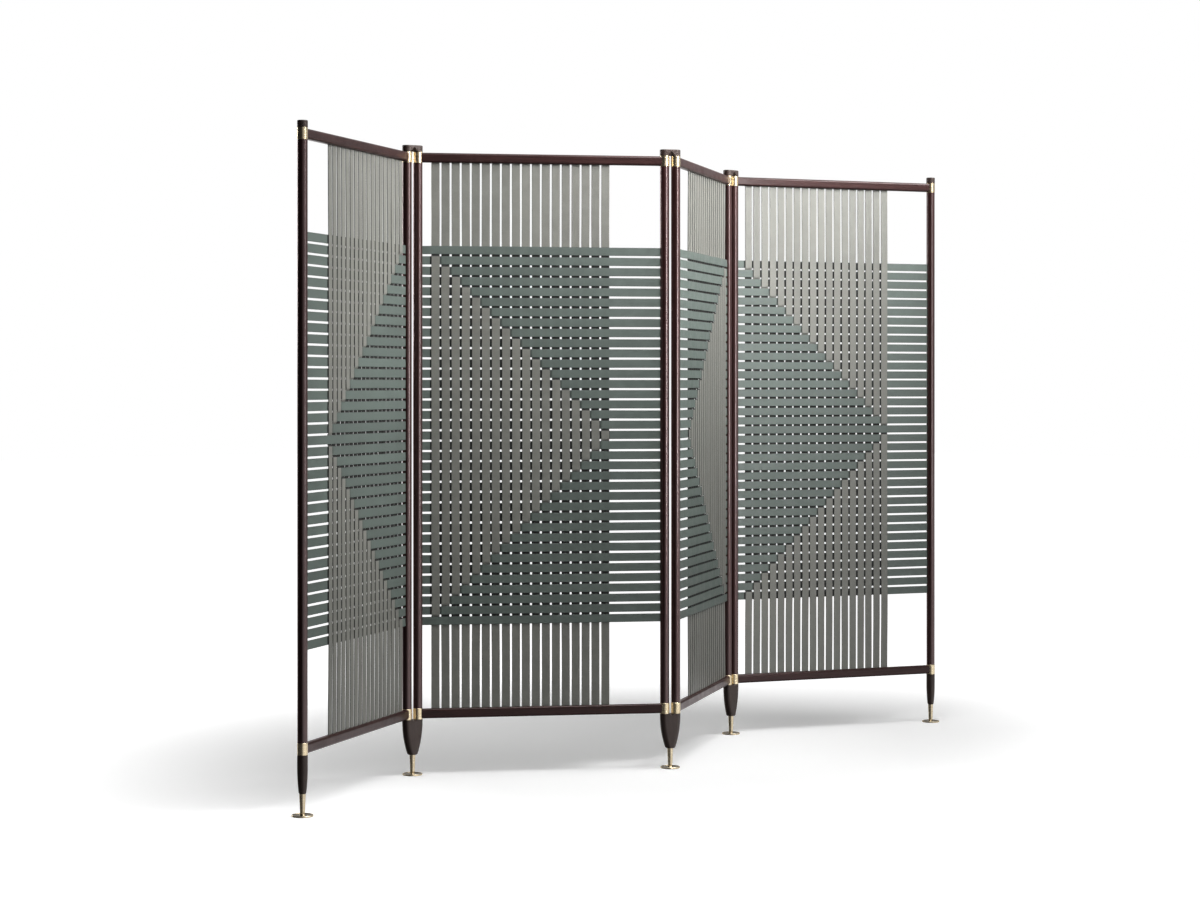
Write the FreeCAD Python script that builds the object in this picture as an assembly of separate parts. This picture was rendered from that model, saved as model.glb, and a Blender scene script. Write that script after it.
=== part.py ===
import FreeCAD, Part
import math
import os

# Folding screen of four leather-strapped panels, in millimetres.
# +Z is up, +X runs along the screen from its first panel to its last,
# and the origin is on the floor under the middle of the five glides.

Vector = FreeCAD.Vector

# Panel frame
panel_width = 800.0  # post axis to post axis
post_length = 1804.0
post_diameter = 30.0
collar_wall = 2.0
collar_proud = 0.5  # how far a collar stands out from its post
collar_margin = 2.0  # collar showing above and below the rail
collar_chamfer = 0.5
rail_height = 31.0
rail_depth = 22.0
rail_edge_radius = 7.0

# Joint between two neighbouring panels
post_gap = 7.5  # daylight between the two posts of a joint
cap_height = 20.0
cap_edge_radius = 2.5
cap_roof = 6.0  # wood left above the pins
cap_scoop_radius = 13.0
cap_scoop_height = 19.0
foot_height = 111.0
foot_tip_length = 1.0  # straight run left at the lower end of a double foot
foot_draw_in = 2.2  # power of the draw-in: above 1 it starts slowly and ends fast
foot_sections = 7
foot_tip_chamfer = 2.0
foot_scoop_radius = 7.5
foot_scoop_height = 12.0
scoop_setback = 3.5  # from the face of a cap or foot out to the hollow's axis
end_foot_tip_diameter = 22.0
end_foot_straight = 34.0  # plain length above the taper of an end foot
pin_diameter = 10.0
pin_in_post = 24.0
pin_in_foot = 25.0
pin_chamfer = 1.0
washer_diameter = 22.0
washer_thickness = 1.5

# Studs that tie the rails to the posts
rail_stud_diameter = 8.0
rail_stud_in_rail = 22.0
rail_stud_wall = 1.4  # wood left between a stud and the pin bore

# Levelling glides
disc_diameter = 64.0
disc_thickness = 5.0
disc_rim_width = 2.2
disc_dish_depth = 1.6
disc_dish_slope = 2.0
disc_edge_chamfer = 0.8
stem_height = 60.0
stem_top_diameter = 19.0
stem_base_diameter = 14.5
stem_base_flare = 2.0
stud_diameter = 10.0
stud_length = 40.0
stud_chamfer = 1.0

# Straps and the grooves that hold their ends
strap_width = 26.4
strap_thickness = 2.5
column_count = 18  # upright straps
row_count = 37  # level straps
column_gap = 5.9
row_gap = 6.4
near_post_margin = 28.3  # from a post's face to the first upright strap
groove_depth = 9.0
batten_thickness = 3.0

# Clearances
running_clearance = 0.05  # round a pin that turns or a stud that slides
running_gap = 0.3  # between faces that turn on each other
press_clearance = 0.02
seat_clearance = 0.1
weave_clearance = 0.4  # between two straps that cross
end_clearance = 1.0  # past the end of a pin, stud or strap in its hole

# How the screen stands: degrees from +X, first panel to last
panel_headings = (28.0, -34.8, 30.6, -21.8)
link_headings = (-15.5, -28.0, 5.0)

# The triangle of each panel: the end its base stands at, and the straps that lie in front inside it
base_at_left = (False, True, False, True)
uprights_lead = (False, True, True, False)

# Sizes that follow from the ones above
post_radius = post_diameter / 2
collar_radius = post_radius + collar_proud
collar_height = rail_height + 2 * collar_margin
spigot_radius = collar_radius - collar_wall - seat_clearance
post_spacing = post_diameter + post_gap
pin_radius = pin_diameter / 2
bore_radius = pin_radius + running_clearance
pin_seat_radius = pin_radius + press_clearance
stud_radius = stud_diameter / 2
strap_half = strap_width / 2
column_pitch = strap_width + column_gap
row_pitch = strap_width + row_gap
weave_offset = (strap_thickness + weave_clearance) / 2
strap_in_groove = groove_depth - end_clearance
batten_depth = strap_in_groove - end_clearance
batten_front = strap_thickness / 2 + seat_clearance
groove_front = -strap_thickness / 2 - seat_clearance
groove_back = batten_front + batten_thickness + seat_clearance

# Levels
foot_bottom = disc_thickness + stem_height
foot_top = foot_bottom + foot_height
post_bottom = foot_top + running_gap
post_top = post_bottom + post_length
post_middle = post_bottom + post_length / 2
cap_bottom = post_top + running_gap
cap_top = cap_bottom + cap_height
rail_levels = (post_bottom + collar_height / 2, post_top - collar_height / 2)
collar_bottoms = (post_bottom, post_top - collar_height)
upright_foot = rail_levels[0] + rail_height / 2
upright_head = rail_levels[1] - rail_height / 2
field_half_height = (row_count - 1) * row_pitch / 2 + strap_half
row_levels = [post_middle + ((row_count + 1) / 2 - row) * row_pitch for row in range(1, row_count + 1)]


def step(point, heading, distance):
    angle = math.radians(heading)
    return point + Vector(math.cos(angle), math.sin(angle), 0) * distance


def box_between(x_ends, y_ends, z_ends):
    low = Vector(min(x_ends), min(y_ends), min(z_ends))
    high = Vector(max(x_ends), max(y_ends), max(z_ends))
    size = high - low
    return Part.makeBox(size.x, size.y, size.z, low)


def upright_cylinder(radius, low, high, x=0.0):
    return Part.makeCylinder(radius, high - low, Vector(x, 0, low))


def turned(points):
    # Solid of revolution about the Z axis from (radius, height) points
    outline = [Vector(radius, 0, height) for radius, height in points]
    face = Part.Face(Part.makePolygon(outline + outline[:1]))
    return face.revolve(Vector(0, 0, 0), Vector(0, 0, 1), 360)


def pin_between(low, high, x=0.0):
    tip_radius = pin_radius - pin_chamfer
    profile = [
        (0, low),
        (tip_radius, low),
        (pin_radius, low + pin_chamfer),
        (pin_radius, high - pin_chamfer),
        (tip_radius, high),
        (0, high),
    ]
    pin = turned(profile)
    pin.translate(Vector(x, 0, 0))
    return pin


# Panel frame

def inward(side):
    # Along the rail from a post: +1 at the left post, -1 at the right post
    return 1 if side == "left" else -1


def post_axis(side):
    return 0.0 if side == "left" else panel_width


def rail_stud(side, level, clearance=0.0, spare=0.0):
    # The stud itself, or with a clearance and spare length the hole that takes it
    inner_end = bore_radius + rail_stud_wall
    start = Vector(post_axis(side) + inward(side) * inner_end, 0, level)
    length = collar_radius + rail_stud_in_rail - inner_end + spare
    return Part.makeCylinder(rail_stud_diameter / 2 + clearance, length, start, Vector(inward(side), 0, 0))


def rail_stud_hole(side, level):
    return rail_stud(side, level, seat_clearance, end_clearance)


def post(side):
    axis = post_axis(side)
    shaft = upright_cylinder(post_radius, post_bottom + collar_height, post_top - collar_height, axis)
    spigots = upright_cylinder(spigot_radius, post_bottom, post_top, axis)
    body = shaft.fuse(spigots).removeSplitter()
    bore_depth = pin_in_post + end_clearance
    body = body.cut(upright_cylinder(bore_radius, post_bottom, post_bottom + bore_depth, axis))
    body = body.cut(upright_cylinder(bore_radius, post_top - bore_depth, post_top, axis))
    groove_floor = axis + inward(side) * (post_radius - groove_depth)
    groove_mouth = axis + inward(side) * post_diameter
    groove_half = field_half_height + seat_clearance
    levels = (post_middle - groove_half, post_middle + groove_half)
    body = body.cut(box_between((groove_floor, groove_mouth), (groove_front, groove_back), levels))
    for level in rail_levels:
        body = body.cut(rail_stud_hole(side, level))
    return body


def collar(side, bottom):
    top = bottom + collar_height
    bore = spigot_radius + seat_clearance
    profile = [
        (bore, bottom),
        (collar_radius - collar_chamfer, bottom),
        (collar_radius, bottom + collar_chamfer),
        (collar_radius, top - collar_chamfer),
        (collar_radius - collar_chamfer, top),
        (bore, top),
    ]
    ring = turned(profile)
    ring.translate(Vector(post_axis(side), 0, 0))
    return ring.cut(rail_stud_hole(side, bottom + collar_height / 2))


def column_places(panel):
    # Middles of the upright straps, counted from the post at the triangle's base
    first = post_radius + near_post_margin + strap_half
    places = [first + number * column_pitch for number in range(column_count)]
    if base_at_left[panel]:
        return places
    return [panel_width - place for place in places]


def rail(panel, level, groove_way):
    # groove_way is +1 where the groove is in the upper face, -1 where it is in the lower face
    low, high = level - rail_height / 2, level + rail_height / 2
    bar = box_between((0, panel_width), (-rail_depth / 2, rail_depth / 2), (low, high))
    long_edges = [edge for edge in bar.Edges if abs(edge.tangentAt(edge.FirstParameter).x) > 0.5]
    bar = bar.makeFillet(min(rail_edge_radius, 0.45 * rail_depth, 0.45 * rail_height), long_edges)
    inner_face = high if groove_way > 0 else low
    places = column_places(panel)
    ends = (min(places) - strap_half - seat_clearance, max(places) + strap_half + seat_clearance)
    depths = (inner_face - groove_way * groove_depth, inner_face + groove_way * groove_depth)
    bar = bar.cut(box_between(ends, (groove_front, groove_back), depths))
    for side in ("left", "right"):
        cope = upright_cylinder(collar_radius + seat_clearance, low - rail_height, high + rail_height, post_axis(side))
        bar = bar.cut(cope)
        bar = bar.cut(rail_stud_hole(side, level))
    return bar


def battens(panel):
    # Strips that clamp the strap ends in the two posts and the two rails
    back = (batten_front, batten_front + batten_thickness)
    rows = (post_middle - field_half_height, post_middle + field_half_height)
    strips = []
    for side in ("left", "right"):
        mouth = post_axis(side) + inward(side) * (post_radius - end_clearance)
        strips.append(box_between((mouth, mouth - inward(side) * batten_depth), back, rows))
    places = column_places(panel)
    columns = (min(places) - strap_half, max(places) + strap_half)
    for mouth, way in ((upright_foot, -1), (upright_head, 1)):
        seat = mouth + way * end_clearance
        strips.append(box_between(columns, back, (seat, seat + way * batten_depth)))
    return strips


# Straps

def upright_in_front(panel, column, row):
    # The triangle narrows by one row at top and bottom with each column, counted from 1
    inside = column < row <= row_count - column
    return inside == uprights_lead[panel]


def strap_path(tail, mouth, crossings, far_mouth, far_tail):
    # Middle line of a strap: its place along the strap and its distance behind the panel's middle plane
    path = [(tail, 0.0), (mouth, 0.0), (crossings[0][0] - strap_half, crossings[0][1])]
    for here, there in zip(crossings, crossings[1:]):
        if here[1] != there[1]:
            path.append((here[0] + strap_half, here[1]))
            path.append((there[0] - strap_half, there[1]))
    path.append((crossings[-1][0] + strap_half, crossings[-1][1]))
    return path + [(far_mouth, 0.0), (far_tail, 0.0)]


def strap_outline(path):
    near = [(place, depth - strap_thickness / 2) for place, depth in path]
    far = [(place, depth + strap_thickness / 2) for place, depth in reversed(path)]
    return near + far


def face_from(points):
    return Part.Face(Part.makePolygon(points + points[:1]))


def upright_straps(panel):
    straps = []
    for column, place in enumerate(column_places(panel), start=1):
        crossings = []
        for row in range(row_count, 0, -1):
            depth = -weave_offset if upright_in_front(panel, column, row) else weave_offset
            crossings.append((row_levels[row - 1], depth))
        tails = (upright_foot - strap_in_groove, upright_head + strap_in_groove)
        path = strap_path(tails[0], upright_foot, crossings, upright_head, tails[1])
        outline = [Vector(place - strap_half, depth, level) for level, depth in strap_outline(path)]
        straps.append(face_from(outline).extrude(Vector(strap_width, 0, 0)))
    return straps


def level_straps(panel):
    straps = []
    numbered = sorted((place, column) for column, place in enumerate(column_places(panel), start=1))
    for row, level in enumerate(row_levels, start=1):
        crossings = []
        for place, column in numbered:
            depth = weave_offset if upright_in_front(panel, column, row) else -weave_offset
            crossings.append((place, depth))
        mouths = (post_radius, panel_width - post_radius)
        path = strap_path(mouths[0] - strap_in_groove, mouths[0], crossings, mouths[1], mouths[1] + strap_in_groove)
        outline = [Vector(place, depth, level - strap_half) for place, depth in strap_outline(path)]
        straps.append(face_from(outline).extrude(Vector(0, 0, strap_width)))
    return straps


# Caps and feet

def stadium(half_length, radius, level):
    corner = Vector(half_length, radius, level)
    right_low = Vector(corner.x, -corner.y, level)
    left_low = Vector(-corner.x, -corner.y, level)
    left_high = Vector(-corner.x, corner.y, level)
    right_end = Vector(corner.x + radius, 0, level)
    left_end = Vector(-corner.x - radius, 0, level)
    return Part.Wire([
        Part.makeLine(left_low, right_low),
        Part.Arc(right_low, right_end, corner).toShape(),
        Part.makeLine(corner, left_high),
        Part.Arc(left_high, left_end, left_low).toShape(),
    ])


def scoop(radius, height, level, way, face):
    # Hollow that carries the gap between the posts into a cap (way +1) or a foot (way -1) and dies out
    base = Vector(0, face * (collar_radius + scoop_setback), level)
    return Part.makeCone(radius, 0, height, base, Vector(0, 0, way))


def chamfered_tip(block, tip_radius):
    # Takes the sharp edge off the lower end of a foot
    narrow = tip_radius - foot_tip_chamfer
    funnel = Part.makeCone(narrow, narrow + 2 * foot_height, 2 * foot_height, Vector(0, 0, foot_bottom))
    return block.common(funnel)


def rounded_top(solid, level):
    rim = [edge for edge in solid.Edges if edge.BoundBox.ZMin > level - seat_clearance]
    return solid.makeFillet(cap_edge_radius, rim)


def double_cap():
    block = Part.Face(stadium(post_spacing / 2, collar_radius, cap_bottom)).extrude(Vector(0, 0, cap_height))
    block = rounded_top(block, cap_top)
    for face in (-1, 1):
        block = block.cut(scoop(cap_scoop_radius, cap_scoop_height, cap_bottom, 1, face))
    for x in (-post_spacing / 2, post_spacing / 2):
        block = block.cut(upright_cylinder(pin_seat_radius, cap_bottom, cap_top - cap_roof, x))
    return block


def glide_socket(bottom):
    return upright_cylinder(stud_radius + running_clearance, bottom, bottom + stud_length + end_clearance)


def double_foot():
    # The pair's outline draws in to a round tip, slowly at first and faster below
    wires = []
    for number in range(foot_sections):
        drop = number / (foot_sections - 1)
        half_length = foot_tip_length / 2 + (post_spacing - foot_tip_length) / 2 * (1 - drop ** foot_draw_in)
        wires.append(stadium(half_length, collar_radius, foot_top - drop * foot_height))
    block = chamfered_tip(Part.makeLoft(wires, True, False), collar_radius + foot_tip_length / 2)
    for face in (-1, 1):
        block = block.cut(scoop(foot_scoop_radius, foot_scoop_height, foot_top, -1, face))
    for x in (-post_spacing / 2, post_spacing / 2):
        block = block.cut(upright_cylinder(pin_seat_radius, foot_top - pin_in_foot, foot_top, x))
        recess_floor = foot_top + running_gap - washer_thickness
        block = block.cut(upright_cylinder(washer_diameter / 2 + seat_clearance, recess_floor, foot_top, x))
    return block.cut(glide_socket(foot_bottom))


def pivot_pins():
    pins = []
    for x in (-post_spacing / 2, post_spacing / 2):
        pins.append(pin_between(foot_top - pin_in_foot, post_bottom + pin_in_post, x))
        pins.append(pin_between(post_top - pin_in_post, cap_top - cap_roof, x))
    return pins


def thrust_washers():
    washers = []
    for x in (-post_spacing / 2, post_spacing / 2):
        disc = upright_cylinder(washer_diameter / 2, post_bottom - washer_thickness, post_bottom, x)
        hole = upright_cylinder(pin_radius + running_gap, post_bottom - washer_thickness, post_bottom, x)
        washers.append(disc.cut(hole))
    return washers


def end_cap():
    block = rounded_top(upright_cylinder(collar_radius, post_top, cap_top), cap_top)
    return block.cut(upright_cylinder(pin_seat_radius, post_top, cap_top - cap_roof))


def end_foot():
    tip_radius = end_foot_tip_diameter / 2
    shoulder = Vector(collar_radius, 0, post_bottom - end_foot_straight)
    tip = Vector(tip_radius, 0, foot_bottom)
    # The taper is an arc that leaves the plain length without a kink
    fall = shoulder.z - tip.z
    inset = shoulder.x - tip.x
    bend = (fall ** 2 + inset ** 2) / (2 * inset)
    half_turn = math.asin(fall / bend) / 2
    middle = shoulder - Vector(bend * (1 - math.cos(half_turn)), 0, bend * math.sin(half_turn))
    rim = Vector(collar_radius, 0, post_bottom)
    head = Vector(0, 0, post_bottom)
    foot = Vector(0, 0, foot_bottom)
    edges = [
        Part.makeLine(head, rim),
        Part.makeLine(rim, shoulder),
        Part.Arc(shoulder, middle, tip).toShape(),
        Part.makeLine(tip, foot),
        Part.makeLine(foot, head),
    ]
    block = Part.Face(Part.Wire(edges)).revolve(Vector(0, 0, 0), Vector(0, 0, 1), 360)
    block = chamfered_tip(block, tip_radius)
    block = block.cut(upright_cylinder(pin_seat_radius, post_bottom - pin_in_foot, post_bottom))
    return block.cut(glide_socket(foot_bottom))


def end_pins():
    return [
        pin_between(post_bottom - pin_in_foot, post_bottom + pin_in_post),
        pin_between(post_top - pin_in_post, cap_top - cap_roof),
    ]


def levelling_glide():
    # Dished disc, tapered stem and plain stud turned from one bar
    rim_radius = disc_diameter / 2
    dish_floor = disc_thickness - disc_dish_depth
    base_radius = stem_base_diameter / 2
    stud_top = foot_bottom + stud_length
    profile = [
        (0, 0),
        (rim_radius - disc_edge_chamfer, 0),
        (rim_radius, disc_edge_chamfer),
        (rim_radius, disc_thickness - disc_edge_chamfer),
        (rim_radius - disc_edge_chamfer, disc_thickness),
        (rim_radius - disc_rim_width, disc_thickness),
        (rim_radius - disc_rim_width - disc_dish_slope, dish_floor),
        (base_radius + stem_base_flare, dish_floor),
        (base_radius, dish_floor + stem_base_flare),
        (stem_top_diameter / 2, foot_bottom),
        (stud_radius, foot_bottom),
        (stud_radius, stud_top - stud_chamfer),
        (stud_radius - stud_chamfer, stud_top),
        (0, stud_top),
    ]
    return turned(profile)


# Plan of the standing screen: the posts in order, then the glides under the ends and the joints

left_posts = [Vector(0, 0, 0)]
right_posts = []
for heading, link_heading in zip(panel_headings, link_headings + (0.0,)):
    right_posts.append(step(left_posts[-1], heading, panel_width))
    left_posts.append(step(right_posts[-1], link_heading, post_spacing))
left_posts.pop()
joint_middles = [(right + left) * 0.5 for right, left in zip(right_posts, left_posts[1:])]
glide_places = [left_posts[0]] + joint_middles + [right_posts[-1]]
plan_centre = Vector(
    (min(place.x for place in glide_places) + max(place.x for place in glide_places)) / 2,
    (min(place.y for place in glide_places) + max(place.y for place in glide_places)) / 2,
    0,
)


def export(name, shapes, place, heading):
    # Shapes made about their own axis are stood at their place in the plan
    group = shapes[0] if len(shapes) == 1 else Part.makeCompound(shapes)
    group = group.copy()
    group.rotate(Vector(0, 0, 0), Vector(0, 0, 1), heading)
    group.translate(place - plan_centre)
    group.exportStep("parts/" + name + ".step")


for panel, heading in enumerate(panel_headings):
    pieces = {
        "left_post": [post("left")],
        "right_post": [post("right")],
        "bottom_rail": [rail(panel, rail_levels[0], 1)],
        "top_rail": [rail(panel, rail_levels[1], -1)],
        "collars": [collar(side, bottom) for side in ("left", "right") for bottom in collar_bottoms],
        "rail_studs": [rail_stud(side, level) for side in ("left", "right") for level in rail_levels],
        "strap_battens": battens(panel),
        "vertical_straps": upright_straps(panel),
        "horizontal_straps": level_straps(panel),
    }
    for name, shapes in pieces.items():
        export(name + "_" + str(panel + 1), shapes, left_posts[panel], heading)

for joint, (middle, heading) in enumerate(zip(joint_middles, link_headings)):
    pair = "_" + str(joint + 1) + str(joint + 2)
    export("double_cap" + pair, [double_cap()], middle, heading)
    export("double_foot" + pair, [double_foot()], middle, heading)
    export("pivot_pins" + pair, pivot_pins(), middle, heading)
    export("thrust_washers" + pair, thrust_washers(), middle, heading)

for end, place in (("_1", left_posts[0]), ("_4", right_posts[-1])):
    export("end_cap" + end, [end_cap()], place, 0)
    export("end_foot" + end, [end_foot()], place, 0)
    export("end_pins" + end, end_pins(), place, 0)

for number, place in enumerate(glide_places, start=1):
    export("levelling_glide_" + str(number), [levelling_glide()], place, 0)
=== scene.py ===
import math
import random

import bmesh
import bpy
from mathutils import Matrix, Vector


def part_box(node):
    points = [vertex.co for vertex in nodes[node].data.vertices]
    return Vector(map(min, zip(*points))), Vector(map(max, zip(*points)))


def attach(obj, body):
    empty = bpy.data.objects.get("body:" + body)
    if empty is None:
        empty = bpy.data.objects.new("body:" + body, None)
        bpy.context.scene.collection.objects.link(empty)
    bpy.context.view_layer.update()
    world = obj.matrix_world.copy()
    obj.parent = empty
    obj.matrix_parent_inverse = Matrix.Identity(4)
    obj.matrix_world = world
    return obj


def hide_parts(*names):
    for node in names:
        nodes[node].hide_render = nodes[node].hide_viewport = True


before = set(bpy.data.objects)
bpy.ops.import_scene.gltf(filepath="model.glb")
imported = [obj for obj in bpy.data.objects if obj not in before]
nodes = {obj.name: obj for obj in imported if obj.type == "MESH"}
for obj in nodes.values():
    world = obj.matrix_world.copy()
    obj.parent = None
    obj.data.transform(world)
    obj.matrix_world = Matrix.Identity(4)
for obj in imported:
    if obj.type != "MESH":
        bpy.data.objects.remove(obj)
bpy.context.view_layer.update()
panels = (1, 2, 3, 4)
joints = ("12", "23", "34")
rowEnds = (1, 4)
glides = (1, 2, 3, 4, 5)
print("frame loaded:", len(nodes), "nodes")


# small helpers for node trees

def paint(red, green, blue):
    # a screen colour of 0 to 255 as the linear colour that a shader takes
    shares = [channel / 255 for channel in (red, green, blue)]
    linear = [s / 12.92 if s <= 0.04045 else ((s + 0.055) / 1.055) ** 2.4 for s in shares]
    return (*linear, 1.0)


def addNode(tree, kind, inputs=None, **settings):
    node = tree.nodes.new(kind)
    for key, value in settings.items():
        setattr(node, key, value)
    for key, value in (inputs or {}).items():
        if isinstance(value, bpy.types.NodeSocket):
            tree.links.new(value, node.inputs[key])
        else:
            node.inputs[key].default_value = value
    return node


def compute(tree, operation, first, second=0.0, clamp=False):
    node = addNode(tree, "ShaderNodeMath", {0: first, 1: second}, operation=operation, use_clamp=clamp)
    return node.outputs[0]


def ramp(tree, value, start, end, low=0.0, high=1.0):
    inputs = {"Value": value, "From Min": start, "From Max": end, "To Min": low, "To Max": high}
    node = addNode(tree, "ShaderNodeMapRange", inputs, interpolation_type="SMOOTHSTEP")
    return node.outputs["Result"]


def blendColour(tree, share, first, second, mode="MIX"):
    inputs = {0: share, 6: first, 7: second}
    return addNode(tree, "ShaderNodeMix", inputs, data_type="RGBA", blend_type=mode).outputs[2]


def newGroup(name, inputs, outputs):
    tree = bpy.data.node_groups.new(name, "ShaderNodeTree")
    for label, value in inputs.items():
        kind = "NodeSocketVector" if value is None else "NodeSocketFloat"
        socket = tree.interface.new_socket(label, in_out="INPUT", socket_type=kind)
        if value is not None:
            socket.default_value = value
    for label in outputs:
        tree.interface.new_socket(label, in_out="OUTPUT", socket_type="NodeSocketFloat")
    given = tree.nodes.new("NodeGroupInput")
    result = tree.nodes.new("NodeGroupOutput")
    return tree, given.outputs, result.inputs


def useGroup(tree, group, inputs):
    return addNode(tree, "ShaderNodeGroup", inputs, node_tree=group).outputs


def newMaterial(name):
    material = bpy.data.materials.new(name)
    material.use_nodes = True
    tree = material.node_tree
    return material, tree, tree.nodes["Principled BSDF"]


def objectCoordinates(tree, **mapping):
    vector = addNode(tree, "ShaderNodeTexCoord").outputs["Object"]
    if not mapping:
        return vector
    inputs = {"Vector": vector}
    inputs.update({key.capitalize(): value for key, value in mapping.items()})
    return addNode(tree, "ShaderNodeMapping", inputs, vector_type="TEXTURE").outputs["Vector"]


def noise(tree, vector, size, detail=4.0, roughness=0.55, distortion=0.0):
    # fine noise whose marks are about as large as size, in metres
    inputs = {
        "Vector": vector, "Scale": compute(tree, "DIVIDE", 1.0, size),
        "Detail": detail, "Roughness": roughness, "Distortion": distortion,
    }
    return addNode(tree, "ShaderNodeTexNoise", inputs).outputs["Fac"]


def scaled(tree, value, share):
    return compute(tree, "MULTIPLY", value, share)


# effects that several materials share

def makeStainedGrain():
    # wood fibres along the Z axis of the vector: fine streaks, broad figure and dark pores
    figureScale = 4.0
    poreScale = 0.22
    tree, given, result = newGroup(
        "stainedGrain",
        {"Vector": None, "Fibre Size": 0.003, "Fibre Length": 18.0},
        ("Streaks", "Figure", "Pores"),
    )
    squeeze = compute(tree, "DIVIDE", 1.0, given["Fibre Length"])
    stretch = addNode(tree, "ShaderNodeCombineXYZ", {"X": 1.0, "Y": 1.0, "Z": squeeze}).outputs[0]
    fibres = addNode(
        tree, "ShaderNodeVectorMath", {0: given["Vector"], 1: stretch}, operation="MULTIPLY").outputs[0]
    figureSize = scaled(tree, given["Fibre Size"], figureScale)
    poreSize = scaled(tree, given["Fibre Size"], poreScale)
    streaks = noise(tree, fibres, given["Fibre Size"], detail=6.0, roughness=0.62, distortion=0.5)
    figure = noise(tree, fibres, figureSize, detail=2.0, roughness=0.5, distortion=1.2)
    pores = noise(tree, fibres, poreSize, detail=2.0, roughness=0.5)
    tree.links.new(ramp(tree, streaks, start=0.32, end=0.68), result["Streaks"])
    tree.links.new(ramp(tree, figure, start=0.3, end=0.7), result["Figure"])
    tree.links.new(ramp(tree, pores, start=0.6, end=0.72), result["Pores"])
    return tree


def makeHandledWear():
    # the faint marks of cleaning and touch on any hard finish
    tree, given, result = newGroup(
        "handledWear",
        {"Vector": None, "Patch Size": 0.05, "Speck Size": 0.0012},
        ("Smudges", "Specks"),
    )
    smudges = noise(tree, given["Vector"], given["Patch Size"], detail=5.0, roughness=0.6, distortion=0.8)
    specks = noise(tree, given["Vector"], given["Speck Size"], detail=1.0, roughness=0.4)
    tree.links.new(ramp(tree, smudges, start=0.35, end=0.7), result["Smudges"])
    tree.links.new(ramp(tree, specks, start=0.7, end=0.78), result["Specks"])
    return tree


def makeTurnedLines():
    # lathe rings round the Z axis of the vector, on the sides and on the flat faces alike
    tree, given, result = newGroup("turnedLines", {"Vector": None, "Line Size": 0.0004}, ("Lines", "Bands"))
    parts = addNode(tree, "ShaderNodeSeparateXYZ", {0: given["Vector"]}).outputs
    radius = compute(tree, "SQRT", compute(
        tree, "ADD", compute(tree, "MULTIPLY", parts["X"], parts["X"]),
        compute(tree, "MULTIPLY", parts["Y"], parts["Y"])))
    travel = compute(tree, "DIVIDE", compute(tree, "ADD", radius, parts["Z"]), given["Line Size"])
    fine = {"W": travel, "Scale": 1.0, "Detail": 2.0, "Roughness": 0.6}
    broad = {"W": travel, "Scale": 0.12, "Detail": 1.0, "Roughness": 0.5}
    lines = addNode(tree, "ShaderNodeTexNoise", fine, noise_dimensions="1D").outputs["Fac"]
    bands = addNode(tree, "ShaderNodeTexNoise", broad, noise_dimensions="1D").outputs["Fac"]
    tree.links.new(ramp(tree, lines, start=0.25, end=0.75), result["Lines"])
    tree.links.new(ramp(tree, bands, start=0.3, end=0.7), result["Bands"])
    return tree


def makeHideGrain():
    # smooth-finished leather: small flat pebbles, a few creases and a slow change of tone
    pebblesPerCrease = 5.0
    creaseWarp = (0.004, 0.004, 0.004)
    tree, given, result = newGroup(
        "hideGrain",
        {"Vector": None, "Pebble Size": 0.0011, "Mottle Size": 0.06},
        ("Pebbles", "Creases", "Mottle"),
    )
    scale = compute(tree, "DIVIDE", 1.0, given["Pebble Size"])
    cells = addNode(
        tree, "ShaderNodeTexVoronoi", {"Vector": given["Vector"], "Scale": scale, "Smoothness": 0.6},
        feature="SMOOTH_F1").outputs["Distance"]
    creaseScale = compute(tree, "DIVIDE", scale, pebblesPerCrease)
    warp = addNode(tree, "ShaderNodeTexNoise", {
        "Vector": given["Vector"], "Scale": creaseScale, "Detail": 3.0}).outputs["Color"]
    bent = addNode(tree, "ShaderNodeVectorMath", {
        0: warp, 1: creaseWarp, 2: given["Vector"]}, operation="MULTIPLY_ADD").outputs[0]
    seams = addNode(tree, "ShaderNodeTexVoronoi", {
        "Vector": bent, "Scale": creaseScale}, feature="DISTANCE_TO_EDGE").outputs["Distance"]
    mottle = noise(tree, given["Vector"], given["Mottle Size"], detail=5.0, roughness=0.6, distortion=0.4)
    tree.links.new(ramp(tree, cells, start=0.1, end=0.6, low=1.0, high=0.0), result["Pebbles"])
    tree.links.new(ramp(tree, seams, start=0.0, end=0.06, low=1.0, high=0.0), result["Creases"])
    tree.links.new(ramp(tree, mottle, start=0.3, end=0.7), result["Mottle"])
    return tree


def makeStrapForm():
    # reads what the strap tree stores, and tells a strap's edges, its tone and the painted shade of its
    # stretches behind others;
    # a bend gets painted shade on the face that turns from the light, and as much as Open Bend asks on the
    # other
    tree, given, result = newGroup(
        "strapForm",
        {"Edge Share": 0.1, "Shaded Bend": 1.0, "Open Bend": 0.0},
        ("Edge", "Weave Shade", "Tone"),
    )

    def stored(name):
        return addNode(tree, "ShaderNodeAttribute", attribute_name=name).outputs["Fac"]

    fromMiddle = compute(tree, "ABSOLUTE", stored("across"))
    inner = compute(tree, "SUBTRACT", 1.0, given["Edge Share"])
    turned = compute(tree, "MULTIPLY", stored("layer"), stored("facing"))
    hidden = compute(tree, "MULTIPLY", turned, -1.0, clamp=True)
    side = compute(tree, "MULTIPLY", stored("between"), stored("facing"))
    shaded = compute(tree, "MULTIPLY", side, given["Shaded Bend"])
    unshaded = compute(tree, "MULTIPLY", scaled(tree, side, -1.0), given["Open Bend"])
    weaveShade = compute(tree, "MAXIMUM", compute(tree, "MULTIPLY", hidden, stored("crossed")), shaded)
    weaveShade = compute(tree, "MAXIMUM", weaveShade, unshaded)
    tree.links.new(ramp(tree, fromMiddle, start=inner, end=1.0), result["Edge"])
    tree.links.new(ramp(tree, weaveShade, start=0.2, end=0.9), result["Weave Shade"])
    tree.links.new(stored("tone"), result["Tone"])
    return tree


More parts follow.
